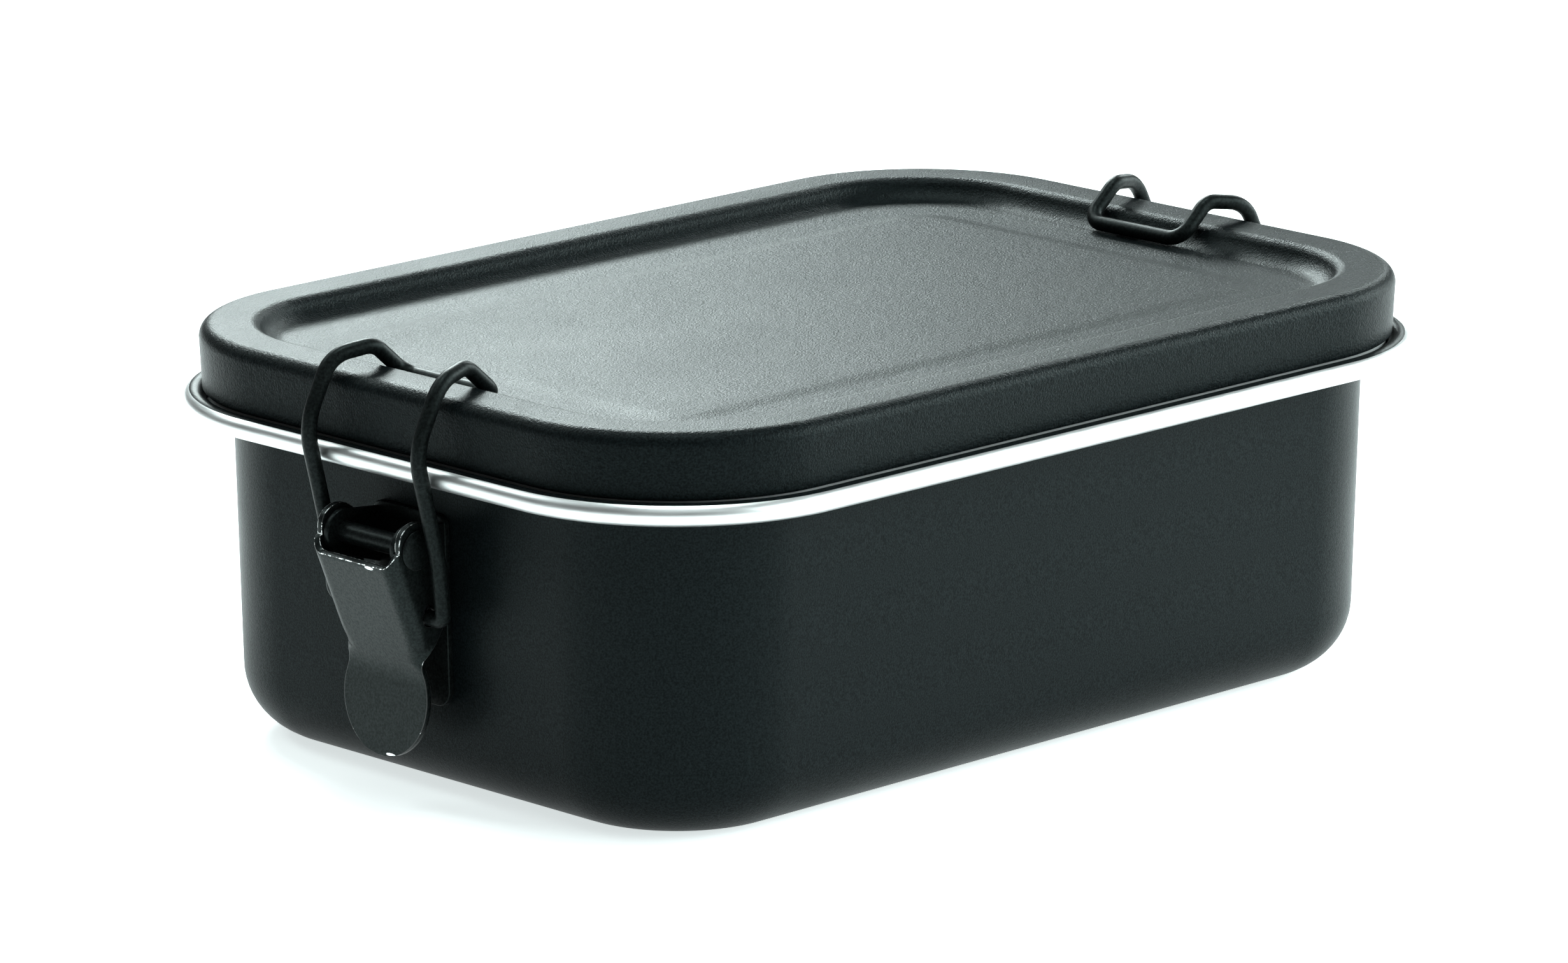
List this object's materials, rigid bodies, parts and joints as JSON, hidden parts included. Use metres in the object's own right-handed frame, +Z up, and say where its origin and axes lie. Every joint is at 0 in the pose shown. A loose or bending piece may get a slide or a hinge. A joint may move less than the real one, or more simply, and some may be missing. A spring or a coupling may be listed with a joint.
{
  "type": "metal lunch box",
  "caption": "Rectangular steel lunch box with rounded corners, a bare rolled rim, a recessed lift-off lid and a wire-bail clip on each end.",
  "frame": {"origin": "middle of the base's underside, on the surface that the box stands on", "axes": "+X along the box towards the right clip, +Y across it, +Z up"},
  "size_m": [0.174, 0.116, 0.0628],
  "materials": {
    "black_coat": "fine-textured matte black powder coat on stainless steel",
    "clip_coat": "satin black coat on stamped steel, worn through at the edges",
    "wire_coat": "matte black coat on steel wire",
    "rim_steel": "bare satin stainless steel",
    "seal": "matte silicone rubber"
  },
  "bodies": {
    "tray": {"tray": "black_coat", "latch_bracket_left": "clip_coat", "latch_pin_left": "clip_coat", "latch_bracket_right": "clip_coat", "latch_pin_right": "clip_coat"},
    "lid": {"lid": "black_coat", "lid_seal": "seal"},
    "lever_left": {"latch_lever_left": "clip_coat"},
    "bail_left": {"latch_bail_left": "wire_coat"},
    "lever_right": {"latch_lever_right": "clip_coat"},
    "bail_right": {"latch_bail_right": "wire_coat"}
  },
  "joints": [
    {"name": "lid_lift", "type": "slide", "parent": "tray", "child": "lid", "axis": [0, 0, 1], "range_m": [0, 0.008]},
    {"name": "lever_left_hinge", "type": "hinge", "parent": "tray", "child": "lever_left", "pos_m": [-0.0823, 0, 0.0376], "axis": [0, 1, 0], "range_deg": [0, 150]},
    {"name": "lever_right_hinge", "type": "hinge", "parent": "tray", "child": "lever_right", "pos_m": [0.0823, 0, 0.0376], "axis": [0, -1, 0], "range_deg": [0, 150]},
    {"name": "bail_left_swing", "type": "hinge", "parent": "tray", "child": "bail_left", "pos_m": [-0.13375, 0, 0.01016], "axis": [0, -1, 0], "range_deg": [0, 20]},
    {"name": "bail_right_swing", "type": "hinge", "parent": "tray", "child": "bail_right", "pos_m": [0.13375, 0, 0.01016], "axis": [0, 1, 0], "range_deg": [0, 20]}
  ],
  "couplings": [
    {"joint": "lever_left_hinge", "follows": "lid_lift", "rad_per_m": 327.2},
    {"joint": "lever_right_hinge", "follows": "lid_lift", "rad_per_m": 327.2},
    {"joint": "bail_left_swing", "follows": "lid_lift", "rad_per_m": 43.63},
    {"joint": "bail_right_swing", "follows": "lid_lift", "rad_per_m": 43.63}
  ]
}
